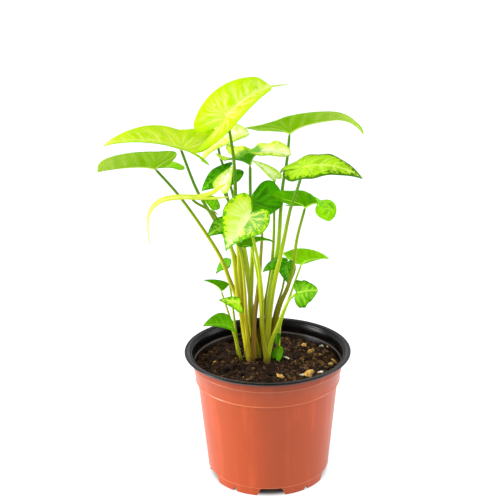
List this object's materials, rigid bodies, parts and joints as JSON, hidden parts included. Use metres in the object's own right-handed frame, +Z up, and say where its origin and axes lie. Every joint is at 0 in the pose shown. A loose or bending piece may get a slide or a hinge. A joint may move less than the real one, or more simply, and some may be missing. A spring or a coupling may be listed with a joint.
{
  "type": "potted arrowhead plant",
  "caption": "Young arrowhead plant with arching heart- and arrow-shaped leaves on thin petioles, growing in a tapered round nursery pot filled with potting mix.",
  "frame": {"origin": "middle of the pot's base, on the surface the pot stands on", "axes": "+Z up through the middle of the pot, -Y to the front, +X to the right seen from the front"},
  "size_m": [0.1994, 0.13, 0.3163],
  "materials": {
    "pot_plastic": "satin terracotta outside, black inside and on the rim",
    "potting_mix": "dark loose mix of peat and bark, dull",
    "petiole": "smooth green stalks, tan at their sheaths",
    "leaf_lime": "soft satin, yellow-green with pale veins",
    "leaf_green": "soft satin, mid green",
    "leaf_dark": "soft satin, dark green with light veins"
  },
  "bodies": {
    "root": {"pot": "pot_plastic", "potting_mix": "potting_mix", "shoot_left": "petiole", "shoot_tan": "petiole", "shoot_back": "petiole", "shoot_middle": "petiole", "shoot_right": "petiole", "shoot_front": "petiole", "shoot_side": "petiole", "shoot_small": "petiole", "shoot_outer": "petiole", "leaf_01": "leaf_lime", "leaf_02": "leaf_lime", "leaf_03": "leaf_green", "leaf_04": "leaf_green", "leaf_05": "leaf_lime", "leaf_06": "leaf_lime", "leaf_07": "leaf_lime", "leaf_08": "leaf_lime", "leaf_09": "leaf_lime", "leaf_10": "leaf_dark", "leaf_11": "leaf_green", "leaf_12": "leaf_dark", "leaf_13": "leaf_green", "leaf_14": "leaf_green", "leaf_15": "leaf_green", "leaf_16": "leaf_dark", "leaf_17": "leaf_dark", "leaf_18": "leaf_green", "leaf_19": "leaf_dark", "leaf_20": "leaf_green", "leaf_21": "leaf_green", "leaf_22": "leaf_green", "leaf_23": "leaf_green", "leaf_24": "leaf_green", "leaf_25": "leaf_dark", "leaf_26": "leaf_lime", "leaf_27": "leaf_lime"}
  },
  "joints": []
}
